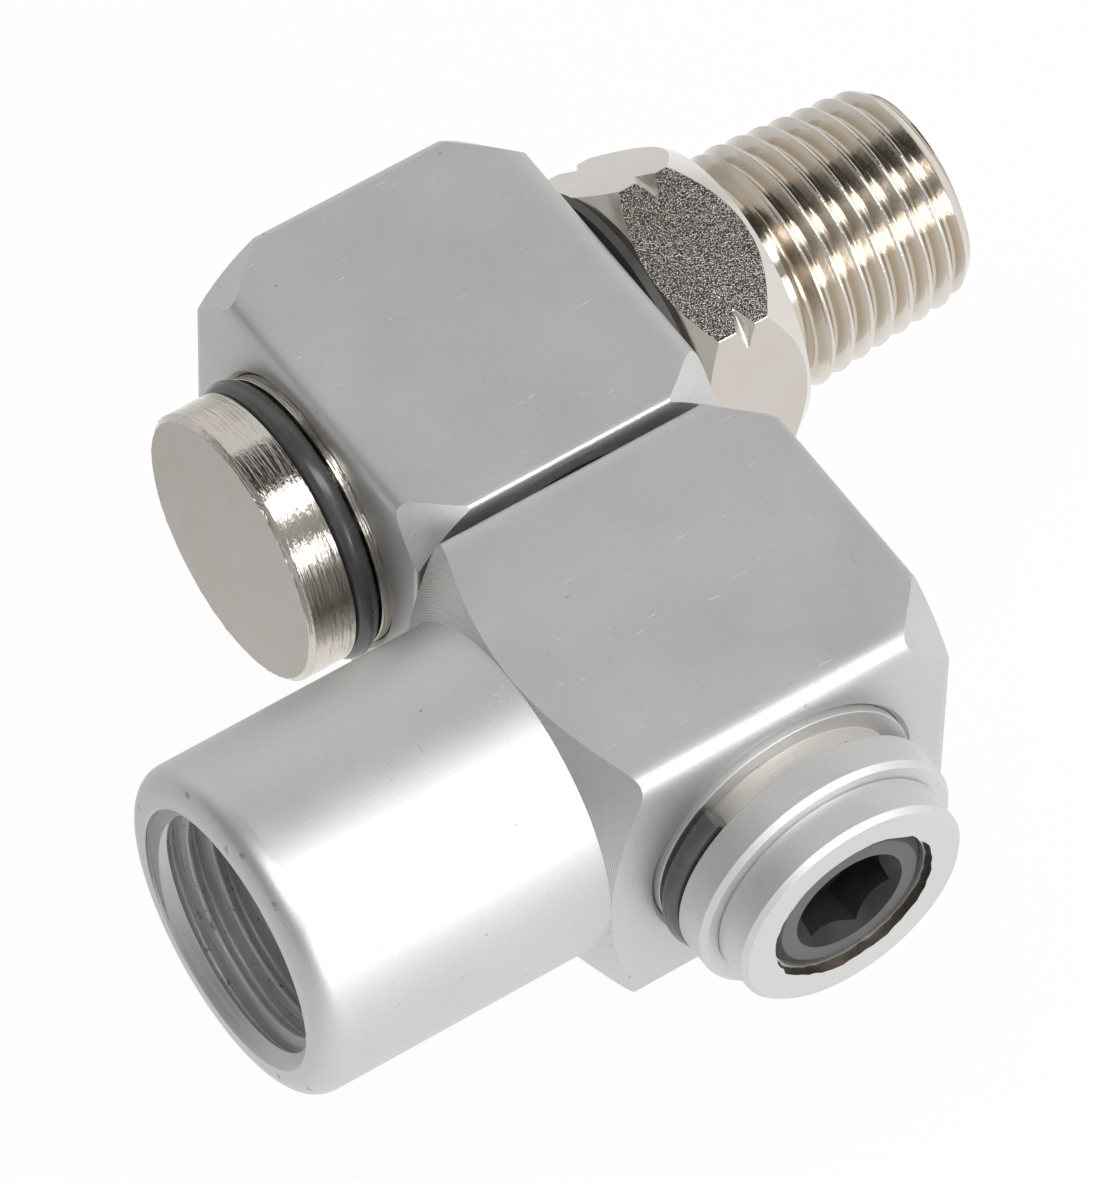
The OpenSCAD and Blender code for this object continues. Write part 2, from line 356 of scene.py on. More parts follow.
def square_bar(name: str, axis: Axis, start: float, end: float, across: float) -> Piece:
    """Length of square bar whose long edges roll softly into the flats.

    Args:
        name: Name of the new object.
        axis: Direction of the bar.
        start: Height of its lower end.
        end: Height of its upper end.
        across: Width across the flats.

    Returns:
        A closed solid.
    """
    piece = add(name, bpy.ops.mesh.primitive_cube_add, size=1,
                location=axis.place((start + end) / 2, 0), scale=axis.stretch(end - start, across))
    corners = piece.data.vertices

    def is_long(edge: bpy.types.MeshEdge) -> bool:
        """Tells a long edge by its direction."""
        run = corners[edge.vertices[0]].co - corners[edge.vertices[1]].co
        return abs(run.normalized().dot(axis.vector)) > 0.99

    with chosen(piece, Element.EDGE, is_long):
        bpy.ops.mesh.bevel(offset=EDGE_ROLL, segments=EDGE_CUTS, profile=EDGE_PROFILE,
                           affect="EDGES")
    return piece


def round_end(piece: Piece, axis: Axis, height: float, radius: float) -> None:
    """Rounds the edges around the sawn end of a bar at a height."""
    with chosen(piece, Element.FACE, lambda face: abs(face.center.dot(axis.vector) - height) < MM):
        bpy.ops.mesh.bevel(offset=radius, segments=END_CUTS, profile=EDGE_PROFILE, affect="EDGES")


def hexagon_bar(name: str, axis: Axis, start: float, end: float, af: float, turn: float) -> Piece:
    """Length of hexagon bar.

    Args:
        name: Name of the new object.
        axis: Direction of the bar.
        start: Height of its lower end.
        end: Height of its upper end.
        af: Width across the flats.
        turn: Turn of its corners, in degrees, from +Y toward +Z or from +X toward +Z.

    Returns:
        A closed solid.
    """
    piece = add(name, bpy.ops.mesh.primitive_cylinder_add, vertices=6, depth=end - start,
                radius=af / 2 / math.cos(math.pi / 6), location=(0, 0, 0), rotation=(0, QUARTER, 0))
    if axis is Axis.Y:
        piece.rotation_euler = (0, 0, -QUARTER)
        apply_place(piece)
    piece.rotation_euler = axis.vector * (math.radians(turn) * axis.way)
    piece.location = axis.place((start + end) / 2, 0)
    apply_place(piece)
    return piece


def deliver(piece: Piece, body: str, slot: str, *nodes: str) -> None:
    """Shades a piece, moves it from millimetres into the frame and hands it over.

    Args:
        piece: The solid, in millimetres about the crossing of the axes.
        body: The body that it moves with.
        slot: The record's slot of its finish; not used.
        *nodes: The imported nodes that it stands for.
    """
    pick(piece)
    bpy.ops.object.shade_smooth_by_angle(angle=SMOOTH)
    apply_modifier(piece, "WEIGHTED_NORMAL", keep_sharp=True)
    piece.scale = (MM, MM, MM)
    piece.location = (-GAUGE_X * MM, 0, 0)
    apply_place(piece)
    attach(piece, body)
    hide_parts(*nodes)
    LOG.info("%s: %d faces, rides on %s", piece.name, len(piece.data.polygons), body)


# Finishes


class Recipe:
    """Node tree of one material or world, written with short calls."""

    def __init__(self, owner: bpy.types.Material | bpy.types.World) -> None:
        """Opens the node tree of a material or world."""
        owner.use_nodes = True
        self.tree = owner.node_tree

    def join(self, socket: Socket, value: Any) -> None:
        """Links an input to another node's output, or sets its value.

        Args:
            socket: The input.
            value: A socket, number or triple.
        """
        if isinstance(value, Socket):
            self.tree.links.new(value, socket)
        elif socket.type == "RGBA":
            socket.default_value = (*value, 1.0)
        else:
            socket.default_value = value

    def node(self, kind: str, inputs: dict[Any, Any] | None = None, **settings: Any) -> Any:
        """Adds a node.

        Args:
            kind: Blender's name of the node's type.
            inputs: Sockets to link or values to set, by the input's name or number.
            **settings: Properties of the node.

        Returns:
            The new node.
        """
        node = self.tree.nodes.new(kind)
        for name, value in settings.items():
            setattr(node, name, value)
        for name, value in (inputs or {}).items():
            self.join(node.inputs[name], value)
        return node

    def place(self) -> Socket:
        """Object coordinates, in metres."""
        return self.node("ShaderNodeTexCoord").outputs["Object"]

    def math(self, operation: str, *values: Any) -> Socket:
        """Result of a math node on sockets or numbers."""
        return self.node("ShaderNodeMath", dict(enumerate(values)), operation=operation).outputs[0]

    def times(self, first: Any, second: Any) -> Socket:
        """Product of two sockets or numbers."""
        return self.math("MULTIPLY", first, second)

    def vector(self, operation: str, *values: Any, output: str = "Vector") -> Socket:
        """Result of a vector math node on sockets or triples."""
        node = self.node("ShaderNodeVectorMath", dict(enumerate(values)), operation=operation)
        return node.outputs[output]

    def dot(self, where: Socket, way: Triple) -> Socket:
        """How far a place lies in some direction."""
        return self.vector("DOT_PRODUCT", where, way, output="Value")

    def noise(self, size: float, detail: float = 2.0, rough: float = 0.5,
              where: Socket | None = None) -> Socket:
        """Noise whose blotches are about size millimetres wide."""
        return self.node("ShaderNodeTexNoise", {
            "Vector": self.place() if where is None else where, "Scale": 1 / (size * MM),
            "Detail": detail, "Roughness": rough}).outputs["Fac"]

    def spread(self, value: Any, low: float, high: float, to_low: float = 0.0,
               to_high: float = 1.0) -> Socket:
        """Maps a range of values to another and clamps it."""
        return self.node("ShaderNodeMapRange", {
            "Value": value, "From Min": low, "From Max": high, "To Min": to_low,
            "To Max": to_high}).outputs[0]

    def mix(self, share: Any, first: Colour | Socket, second: Colour | Socket) -> Socket:
        """Blend of two colours."""
        return self.node("ShaderNodeMix", {0: share, 6: first, 7: second},
                         data_type="RGBA").outputs[2]

    def bump(self, height: Any, depth: float, below: Socket | None = None) -> Socket:
        """Normal of a relief that is depth millimetres high where height is 1."""
        inputs = {"Height": height, "Distance": depth * MM, "Strength": 1.0}
        if below is not None:
            inputs["Normal"] = below
        return self.node("ShaderNodeBump", inputs).outputs[0]

    def set(self, **values: Any) -> None:
        """Links or sets the shader's own sockets, written with underscores for spaces."""
        shader = self.tree.nodes["Principled BSDF"]
        for name, value in values.items():
            self.join(shader.inputs[name.replace("_", " ")], value)

    def polar(self, axis: Axis, centre: Triple) -> tuple[Socket, Socket, Socket]:
        """Place about a turning axis.

        Args:
            axis: Direction of the axis.
            centre: A point on the axis, in millimetres from the crossing of the swivel axes.

        Returns:
            Sockets with the height along the axis, the distance from it and a value that
            changes slowly around it, in metres.
        """
        x, y, z = centre
        local = self.vector("SUBTRACT", self.place(), ((x - GAUGE_X) * MM, y * MM, z * MM))
        across = tuple(1.0 - part for part in axis.value)
        radius = self.vector("LENGTH", self.vector("MULTIPLY", local, across), output="Value")
        slow = self.dot(local, tuple(0.06 * part for part in across))
        return self.dot(local, axis.value), radius, slow

    def dents(self, gap: float, share: float, largest: float) -> Socket:
        """Sparse small dents.

        Args:
            gap: Distance between possible dents, in millimetres.
            share: Share of the places that hold a dent.
            largest: Radius of the largest dent, as a share of that distance.

        Returns:
            1 in a dent and 0 elsewhere.
        """
        wobble = self.noise(gap * 0.15)
        cells = self.node("ShaderNodeTexVoronoi", {"Vector": self.place(), "Scale": 1 / (gap * MM)})
        lucky = self.node("ShaderNodeSeparateColor", {0: cells.outputs["Color"]}).outputs[0]
        limit = self.times(self.math("LESS_THAN", lucky, share),
                           self.spread(wobble, 0.4, 0.6, 0.01, largest))
        return self.math("LESS_THAN", cells.outputs["Distance"], limit)

    def scratches(self, run: Triple, turn: Triple, rarity: float) -> Socket:
        """Thin straight scratches.

        Args:
            run: Stretch of the scratches along each axis, in millimetres.
            turn: Turn of their direction, in degrees.
            rarity: Height of the noise above which a scratch shows.

        Returns:
            1 on a scratch and 0 elsewhere.
        """
        where = self.node("ShaderNodeMapping", {
            "Vector": self.place(), "Rotation": tuple(map(math.radians, turn)),
            "Scale": tuple(1 / (part * MM) for part in run)}).outputs[0]
        lines = self.node("ShaderNodeTexNoise", {"Vector": where, "Scale": 1.0, "Detail": 1.0})
        return self.spread(lines.outputs["Fac"], rarity, rarity + 0.03)


@dataclass(frozen=True)
class ToolMarks:
    """Rings that a lathe tool leaves about an axis.

    Attributes:
        axis: Axis that the surface was turned about.
        centre: A point on the axis, in millimetres.
        pitch: Distance between rings, in millimetres.
        depth: Height of the rings, in millimetres.
        steady: Share of the even thread-like rings against the uneven ones.
    """

    axis: Axis
    centre: Triple
    pitch: float
    depth: float
    steady: float = 0.4

    def height(self, recipe: Recipe) -> Socket:
        """Writes the relief of the rings.

        Args:
            recipe: Node tree of the material.

        Returns:
            Its height, from 0 to 1.
        """
        along, radius, slow = recipe.polar(self.axis, self.centre)
        where = recipe.node("ShaderNodeCombineXYZ", {0: along, 1: radius, 2: slow}).outputs[0]
        uneven = recipe.noise(self.pitch * 2.2, 3.0, 0.6, where)
        run = recipe.math("ADD", recipe.times(along, 0.6), radius)
        even = recipe.math("SINE", recipe.times(run, math.tau / (self.pitch * MM)))
        even = recipe.math("MULTIPLY_ADD", even, 0.5 * self.steady, 0.5)
        return recipe.math("MULTIPLY_ADD", uneven, 1 - self.steady, even)


@dataclass(frozen=True)
class Finish:
    """Look of a surface.

    Attributes:
        name: Name of the material.
        colour: Its colour.
        roughness: Middle of its roughness.
        marks: Tool marks, on a turned face.
    """

    name: str
    colour: Colour
    roughness: float
    marks: ToolMarks | None = None

    @cache
    def material(self) -> bpy.types.Material:
        """Makes the material, once for all finishes that are alike."""
        material = bpy.data.materials.new(self.name)
        self.fill(Recipe(material))
        return material

    def fill(self, recipe: Recipe) -> None:
        """Writes the material's nodes into its tree."""
        raise NotImplementedError

    def dress(self, piece: Piece, test: Test | None = None) -> None:
        """Covers a piece, or some of its faces.

        Args:
            piece: The object that is dressed.
            test: Says of one face whether it takes the finish.
        """
        piece.data.materials.append(self.material())
        if test is None:
            return
        with chosen(piece, Element.FACE, test):
            piece.active_material_index = len(piece.data.materials) - 1
            bpy.ops.object.material_slot_assign()


@dataclass(frozen=True)
class Aluminium(Finish):
    """Satin clear-anodised aluminium.

    Attributes:
        dirt: Share of the tool marks and patches that hold dirt.
        dirt_and_shade_colour: Colour of the dirt, and of the painted shade at a port's mouth.
        wear: Share of the places that hold a dent.
        dent_gap: Distance between those places, in millimetres.
        dent_size: Radius of the largest dent, as a share of that distance.
        painted_mouth_shade: Heights along the marks' axis where the painted shade at a port's mouth
            is strongest, and where it has faded out.
    """

    colour: Colour = (0.648, 0.648, 0.646)
    roughness: float = 0.52
    dirt: float = 0.0
    dirt_and_shade_colour: Colour = (0.22, 0.205, 0.19)
    wear: float = 0.3
    dent_gap: float = 1.3
    dent_size: float = 0.085
    painted_mouth_shade: Station | None = None

    def fill(self, recipe: Recipe) -> None:
        """Writes the material's nodes.

        Args:
            recipe: Node tree of the material.
        """
        cloud, grain = recipe.noise(6.0, 3.0), recipe.noise(0.16, 3.0, 0.65)
        marked = recipe.math("MAXIMUM", *(recipe.scratches(*kind) for kind in SCRATCHES))
        dents = recipe.dents(self.dent_gap, self.wear, self.dent_size)
        relief = recipe.bump(grain, GRAIN_DEPTH)
        tone = recipe.mix(recipe.spread(cloud, 0.3, 0.7), tuple(0.965 * c for c in self.colour),
                          self.colour)
        tone = recipe.mix(recipe.spread(grain, 0.35, 0.65, 0.0, 0.11), tone, GRAIN_TONE)
        if self.marks:
            rings = self.marks.height(recipe)
            relief = recipe.bump(rings, self.marks.depth, relief)
            tone = self.soiled_and_shaded(recipe, tone, rings)
        hollow = recipe.math("MULTIPLY_ADD", dents, DENT_TO_SCRATCH, marked)
        relief = recipe.bump(recipe.times(hollow, -1.0), SCRATCH_DEPTH, relief)
        # Dents take a darker tone: wear, with painted shade inside them
        tone = recipe.mix(recipe.times(dents, 0.6), tone, DENT_WEAR_AND_SHADE_TONE)
        rough = recipe.spread(recipe.math("MULTIPLY_ADD", grain, 0.4, recipe.times(cloud, 0.6)),
                              0.3, 0.7, self.roughness - 0.04, self.roughness + 0.04)
        recipe.set(Base_Color=tone, Metallic=1.0, Normal=relief,
                   Roughness=recipe.math("MULTIPLY_ADD", marked, -0.1, rough))

    def soiled_and_shaded(self, recipe: Recipe, tone: Socket, rings: Socket) -> Socket:
        """Adds the dirt in tool marks and patches, and the painted shade that darkens a port's
        first turns at its mouth.

        Args:
            recipe: Node tree of the material.
            tone: The clean colour.
            rings: Relief of the tool marks.

        Returns:
            The colour with its dirt and painted shade.
        """
        if self.dirt:
            patches = recipe.spread(recipe.noise(0.9, 4.0, 0.6), 0.66 - 0.25 * self.dirt,
                                    0.72 - 0.2 * self.dirt, 0.0, 0.85)
            held = recipe.times(patches, recipe.spread(rings, 0.35, 0.6, 0.4, 1.0))
            lines = recipe.spread(rings, 0.54, 0.59, 0.0, 1.9 * self.dirt)
            tone = recipe.mix(recipe.math("MAXIMUM", held, lines), tone, self.dirt_and_shade_colour)
        # Painted shade: the port's first turns at its mouth darken halfway toward the dirt colour
        if self.painted_mouth_shade:
            along = recipe.polar(self.marks.axis, self.marks.centre)[0]
            full, start = self.painted_mouth_shade
            share = recipe.spread(along, start * MM, full * MM, 0.0, 0.5)
            tone = recipe.mix(share, tone, self.dirt_and_shade_colour)
        return tone


@dataclass(frozen=True)
class Nickel(Finish):
    """Bright nickel plate.

    Attributes:
        grain: Height of the drawn bar's grain, in millimetres.
        grain_size: Width of the grains, in millimetres.
        sparkle: Height of the sparse sharp grains, in millimetres.
        uneven: Height of the soft waves in the plated surface, in millimetres.
        root_tone: Darker warm colour of the male thread's roots and flanks, while the crests keep
            the plain colour, where it has one.
        root: Radius of the roots at a distance along X, and how much it falls per length.
    """

    colour: Colour = (0.74, 0.71, 0.67)
    roughness: float = 0.18
    grain: float = 0.001
    grain_size: float = 0.2
    sparkle: float = 0.0
    uneven: float = 0.0
    root_tone: Colour | None = None
    root: Triple = (6.05, 20.2, 0.075)

    def fill(self, recipe: Recipe) -> None:
        """Writes the material's nodes.

        Args:
            recipe: Node tree of the material.
        """
        cloud, grain = recipe.noise(3.0, 3.0), recipe.noise(self.grain_size, 3.0, 0.7)
        relief = recipe.bump(grain, self.grain)
        if self.sparkle:
            peaks = recipe.spread(recipe.noise(0.8 * self.grain_size, 1.0), 0.56, 0.72)
            relief = recipe.bump(peaks, self.sparkle, relief)
        if self.uneven:
            relief = recipe.bump(recipe.noise(0.45, 3.0, 0.6), self.uneven, relief)
        if self.marks:
            relief = recipe.bump(self.marks.height(recipe), self.marks.depth, relief)
        warm = tuple(c * share for c, share in zip(self.colour, (0.98, 0.95, 0.91)))
        tone = recipe.mix(recipe.spread(cloud, 0.35, 0.7), self.colour, warm)
        # The thread's roots and flanks turn to a darker warm colour; the crests keep the plain
        # colour
        if self.root_tone:
            root_r, root_x, fall = self.root
            along, radius, _ = recipe.polar(Axis.X, (root_x, 0.0, 0.0))
            lift = recipe.math("MULTIPLY_ADD", along, fall, radius)
            lift = recipe.math("SUBTRACT", lift, root_r * MM)
            crest = recipe.spread(recipe.math("MULTIPLY_ADD", cloud, 0.2 * MM, lift),
                                  0.35 * MM, 0.85 * MM)
            tone = recipe.mix(crest, self.root_tone, tone)
            worn = recipe.times(recipe.spread(lift, 0.70 * MM, 0.80 * MM), recipe.noise(0.14))
            relief = recipe.bump(worn, 0.02, relief)
        rough = recipe.spread(grain, 0.3, 0.7, self.roughness - 0.04, self.roughness + 0.05)
        recipe.set(Base_Color=tone, Metallic=1.0, Roughness=rough, Normal=relief)


@dataclass(frozen=True)
class BlackOxide(Finish):
    """Oiled black oxide on spring wire and screws.

    Attributes:
        grain: Height of its grain, in millimetres.
        gloss: Level of its mirror light.
    """

    colour: Colour = (0.058, 0.058, 0.06)
    roughness: float = 0.24
    grain: float = 0.0001
    gloss: float = 0.5

    def fill(self, recipe: Recipe) -> None:
        """Writes the material's nodes.

        Args:
            recipe: Node tree of the material.
        """
        cloud, grain = recipe.noise(1.2, 3.0), recipe.noise(0.12, 3.0, 0.6)
        lighter = tuple(1.3 * c for c in self.colour)
        recipe.set(Base_Color=recipe.mix(recipe.spread(cloud, 0.4, 0.75), self.colour, lighter),
                   Roughness=recipe.spread(cloud, 0.3, 0.7, self.roughness - 0.06,
                                           self.roughness + 0.08),
                   Specular_IOR_Level=self.gloss, Normal=recipe.bump(grain, self.grain))


@dataclass(frozen=True)
class Moulded(Finish):
    """Greased rubber or filled plastic of the hidden seals and washers."""

    def fill(self, recipe: Recipe) -> None:
        """Writes the material's nodes.

        Args:
            recipe: Node tree of the material.
        """
        cloud = recipe.noise(0.8, 3.0)
        lighter = tuple(1.35 * c for c in self.colour)
        recipe.set(Base_Color=recipe.mix(recipe.spread(cloud, 0.3, 0.7), self.colour, lighter),
                   Roughness=recipe.spread(cloud, 0.3, 0.7, self.roughness - 0.08,
                                           self.roughness + 0.08),
                   Normal=recipe.bump(cloud, 0.004))


# Threads


@dataclass(frozen=True)
class PipeThread:
    """Quarter-inch pipe thread form, with the width and the rounding of its crest and root."""

    pitch: float = 1.337
    depth: float = 0.86
    crest: float = 0.15
    root: float = 0.24
    crest_ease: float = 0.10
    root_ease: float = 0.19

    def profile(self, crest_r: float) -> list[Station]:
        """Outline of one turn about a crest at height 0, from mid flank to the next like it."""
        root_r, middle_r, half = crest_r - self.depth, crest_r - self.depth / 2, self.crest / 2
        flank = (self.pitch - self.crest - self.root) / 2
        ridge = eased([(-half - flank / 2, middle_r), (-half, crest_r), (half, crest_r),
                       (half + flank / 2, middle_r)], self.crest_ease)
        valley = eased([ridge[-1], (half + flank, root_r), (self.pitch - half - flank, root_r),
                        (self.pitch - half - flank / 2, middle_r)], self.root_ease, 4)
        return ridge + valley[1:]

    def solid(self, name: str, start: float, end: float, crest_r: float, fall: float) -> Piece:
        """Threaded rod along X with flat ends.

        Args:
            name: Name of the new object.
            start: Height of its lower end.
            end: Height of its upper end.
            crest_r: Radius over the crests at its start.
            fall: Share of its radius that it has lost at its end.

        Returns:
            A closed solid.
        """
        first = start - 1.5 * self.pitch
        piece = wire(name, [Axis.X.place(first + h, r) for h, r in self.profile(crest_r)])
        turns = math.ceil((end - start) / self.pitch) + 2
        apply_modifier(piece, "SCREW", axis="X", angle=math.tau, screw_offset=self.pitch,
                       steps=SPIN_STEPS, render_steps=SPIN_STEPS, iterations=turns,
                       use_merge_vertices=False)
        weld(piece, 0.002)
        for height, keep_above in ((start, True), (end, False)):
            with editing(piece):
                bpy.ops.mesh.bisect(plane_co=(height, 0, 0), plane_no=(1, 0, 0), use_fill=True,
                                    clear_inner=keep_above, clear_outer=not keep_above,
                                    threshold=1e-5)
        face_outwards(piece)
        piece.location.x = -start
        apply_place(piece)
        apply_modifier(piece, "SIMPLE_DEFORM", deform_method="TAPER", deform_axis="X", factor=-fall)
        piece.location.x = start
        apply_place(piece)
        return piece


# Sub-assemblies


@dataclass
class SnapRing:
    """Open ring of round wire with square-cut ends.

    Attributes:
        along: Height of its middle plane.
        opening: Direction of the opening's middle, in degrees, from +Y or +X toward +Z.
        mid_r: Radius of the wire's centre line.
        gap: Angle left open, in degrees.
    """

    name: str
    axis: Axis
    along: float
    opening: float
    mid_r: float = 7.4
    wire_d: float = 1.4
    gap: float = 124.0
    sides: int = 32
    end_ease: float = 0.1

    def build(self, body: str, node: str) -> None:
        """Makes and dresses the ring.

        Args:
            body: The body that it moves with.
            node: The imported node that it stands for.
        """
        piece = add(self.name, bpy.ops.mesh.primitive_circle_add, vertices=self.sides,
                    fill_type="NGON", radius=self.wire_d / 2,
                    location=self.axis.place(self.along, self.mid_r),
                    rotation=self.axis.vector * QUARTER)
        with editing(piece):
            bpy.ops.mesh.spin(steps=WIRE_STEPS, angle=math.radians(360 - self.gap),
                              center=(0, 0, 0), axis=self.axis.vector * -self.axis.way)
        face_outwards(piece)
        with chosen(piece, Element.FACE, lambda face: len(face.vertices) == self.sides):
            bpy.ops.mesh.bevel(offset=self.end_ease, segments=3, affect="EDGES")
        turn = math.radians(self.opening + self.gap / 2 - 90) * self.axis.way
        piece.rotation_euler = self.axis.vector * turn
        apply_place(piece)
        BlackOxide("black_wire").dress(piece)
        deliver(piece, body, "ring_wire", node)


@dataclass
class Journal:
    """Hollow journal with a waist, two seal grooves and crossed drillings.

    Attributes:
        gland_r: Radius of the seal grooves' floor.
        gland_from: Distance from the middle to a groove's near wall.
        gland_to: Distance from the middle to its far wall.
    """

    radius: float = 7.8
    waist_r: float = 5.5
    waist_half: float = 3.8
    gland_r: float = 6.37
    gland_from: float = 4.9
    gland_to: float = 7.369
    hole_r: float = 2.25
    air_r: float = 3.5

    def stations(self, middle: float) -> list[Station]:
        """Outline of the journal about a height."""
        return mirrored([(self.waist_half, self.waist_r), (self.waist_half, self.radius),
                         (self.gland_from, self.radius), (self.gland_from, self.gland_r),
                         (self.gland_to, self.gland_r), (self.gland_to, self.radius)], middle)

    def drill(self, piece: Piece, centre: Triple, across: Triple) -> None:
        """Drills two crossed holes through the waist.

        Args:
            piece: The journal's solid.
            centre: Crossing of the holes.
            across: Turn of the second hole's axis from Z, which the first runs along.
        """
        for turn in ((0, 0, 0), across):
            hole = add("drill", bpy.ops.mesh.primitive_cylinder_add, vertices=48,
                       radius=self.hole_r, depth=2 * self.radius, location=centre,
                       rotation=turn)
            combine(piece, Join.LESS, hole)


@dataclass
class Spindle:
    """Male spindle: head disc, sealed shaft, hexagon and pipe thread, with its snap ring."""

    journal: Journal = field(default_factory=Journal)
    thread: PipeThread = field(default_factory=PipeThread)
    head_end: float = -14.3
    head_x: float = -11.5
    land_x: float = -9.9
    ring_floor_r: float = 6.68
    head_chamfer: float = 0.3
    hex_x: float = 10.3
    hex_face: float = 17.0
    hex_af: float = 17.0
    hex_corner_r: float = 9.79
    hex_face_r: float = 8.25
    hex_flat_from: float = 8.3
    hex_turn: float = 16.0
    rear_chamfer: float = 1.4
    front_chamfer: float = 2.2
    groove_at: float = 13.4
    groove_depth: float = 0.6
    relief_r: float = 5.9
    core_r: float = 5.0
    thread_x: float = 18.4
    thread_end: float = 29.2
    thread_end_r: float = 5.6
    crest_r: float = 7.06
    crest_fall: float = 0.115
    blind_x: float = -2.75
    ring_opening: float = -60.0

    def outline(self) -> list[Station]:
        """Turned outline from the head disc to the core of the thread."""
        r, floor_r, corner_r = self.journal.radius, self.ring_floor_r, self.hex_corner_r
        head = eased([(self.head_end, 0), (self.head_end, r - self.head_chamfer),
                      (self.head_end + self.head_chamfer, r), (self.head_x, r),
                      (self.head_x, floor_r), (self.land_x, floor_r), (self.land_x, r),
                      (self.land_x + 1, r)])
        nut = eased([(self.hex_x - 1, r), (self.hex_x, r), (self.hex_x, self.hex_face_r),
                     (self.hex_x + self.rear_chamfer, corner_r),
                     (self.groove_at - self.groove_depth, corner_r),
                     (self.groove_at, corner_r - self.groove_depth),
                     (self.groove_at + self.groove_depth, corner_r),
                     (self.hex_face - self.front_chamfer, corner_r),
                     (self.hex_face, self.hex_face_r), (self.hex_face, self.relief_r),
                     (self.thread_x, self.relief_r)])
        inside, end = self.thread_x + 0.3, self.thread_end - 0.8
        return (head[:-1] + self.journal.stations(0) + nut[1:]
                + [(inside, self.relief_r), (inside, self.core_r), (end, self.core_r), (end, 0)])

    def threaded_end(self) -> Piece:
        """Taper thread, cut to its run-in and to the chamfer at its small end."""
        start, end = self.thread_x, self.thread_end
        rod = self.thread.solid("thread", start, end, self.crest_r, self.crest_fall)
        blank = eased([(start - 1, 0), (start - 1, 5.3), (start, 6.05),
                       (start + 0.75, self.crest_r), (end - 1.5, 6.38), (end - 0.72, 6.16),
                       (end, self.thread_end_r), (end + 0.001, 0)], 0.1)
        combine(rod, Join.SHARED, turned("blank", blank, Axis.X))
        return rod

    def bore(self) -> Piece:
        """Cutter for the blind air bore, with the drill's point and an eased mouth."""
        r, mouth = self.journal.air_r, self.thread_end + 0.75
        return turned("air_bore", [(self.blind_x - r / math.tan(DRILL_POINT), 0), (self.blind_x, r),
                                   (self.thread_end - 0.25, r), (mouth, r + 1), (mouth, 0)],
                      Axis.X, FINE_STEPS)

    def shape(self) -> Piece:
        """Builds the spindle's solid, in millimetres."""
        piece = hexagon_bar("spindle_body", Axis.X, self.head_end - 1, self.thread_end + 1,
                            self.hex_af, self.hex_turn)
        combine(piece, Join.SHARED, turned("outline", self.outline(), Axis.X))
        combine(piece, Join.MORE, self.threaded_end())
        combine(piece, Join.LESS, self.bore())
        self.journal.drill(piece, CROSSING, (QUARTER, 0, 0))
        weld(piece)
        chamfer = zone(Axis.X, below(self.head_end + self.head_chamfer), slope=(-0.96, -0.3))
        with chosen(piece, Element.FACE, chamfer):
            bpy.ops.transform.vertex_random(offset=0.035, uniform=0.0, normal=0.0, seed=7)
        return piece

    def build(self) -> None:
        """Makes and dresses the spindle and its ring."""
        piece = self.shape()
        rim = zone(Axis.X, below(self.land_x + 1.4), slope=above(-0.99))
        disc = zone(Axis.X, below(self.head_end + 0.05), slope=below(-0.99))
        flats = zone(Axis.X, out=above(self.hex_flat_from), slope=(-0.01, 0.01))
        thread = zone(Axis.X, above(self.hex_face + 0.05), above(4.5))
        Nickel("nickel_turned", roughness=0.15, uneven=0.003,
               marks=ToolMarks(Axis.X, CROSSING, 0.14, 0.008, 0.2)).dress(piece)
        # Rim: a darker, warmer copy of the nickel, painted shade over the whole rim
        Nickel("nickel_rim", colour=(0.64, 0.605, 0.555), roughness=0.13, uneven=0.014,
               marks=ToolMarks(Axis.X, CROSSING, 0.08, 0.075, 0.0)).dress(piece, rim)
        Nickel("nickel_disc", colour=(0.51, 0.475, 0.45), roughness=0.42,
               grain=0.003).dress(piece, disc)
        Nickel("nickel_hexagon", colour=(0.63, 0.595, 0.56), roughness=0.14, uneven=0.004,
               grain=0.0026, grain_size=0.07, sparkle=0.003).dress(piece, flats)
        Nickel("nickel_thread", roughness=0.15, grain=0.002, uneven=0.008,
               root_tone=(0.61, 0.55, 0.47)).dress(piece, thread)
        deliver(piece, "spindle", "nickel", "male_spindle")
        SnapRing("spindle_ring", Axis.X, (self.head_x + self.land_x) / 2,
                 self.ring_opening).build("spindle", "spindle_snap_ring")


@dataclass
class Block:
    """What both blocks share: square bar stock and the bore for a journal.

    Attributes:
        bar_corner_r: Radius over the bar's corners.
        flat_from: Distance from its middle beyond which a face can be the bar's own.
    """

    bar_w: float = 19.0
    bar_corner_r: float = 13.06
    flat_from: float = 8.6
    bore_r: float = 7.85
    bore_chamfer: float = 0.25

    def trim(self, end: float, chamfer: Station, way: int) -> list[Station]:
        """Turned outline that takes the bar's corners off at one end.

        Args:
            end: Height of the end.
            chamfer: Length along the bar and depth below its corners.
            way: 1 for the bar's upper end and -1 for its lower.

        Returns:
            The outline from the bar's side to the axis.
        """
        length, depth = chamfer
        past = end + way * OVER * length / depth
        return [(end - way * (length + OVER * length / depth), self.bar_corner_r + OVER),
                (past, self.bar_corner_r - depth - OVER), (past, 0)]

    def bore(self, axis: Axis) -> Piece:
        """Cutter for a journal's bore through the block, with both mouths chamfered."""
        half, mouth = self.bar_w / 2, self.bore_r + self.bore_chamfer + OVER
        return turned("bore", mirrored([(half - self.bore_chamfer, self.bore_r),
                                        (half + OVER, mouth), (half + OVER, 0)]), axis)

    def is_bar(self, face: Face, axis: Axis) -> bool:
        """Tells the bar's own flats and rounded edges from turned faces."""
        out = max(abs(at) for at, along in zip(face.center, axis.value) if not along)
        return abs(face.normal.dot(axis.vector)) < 0.01 and out > self.flat_from


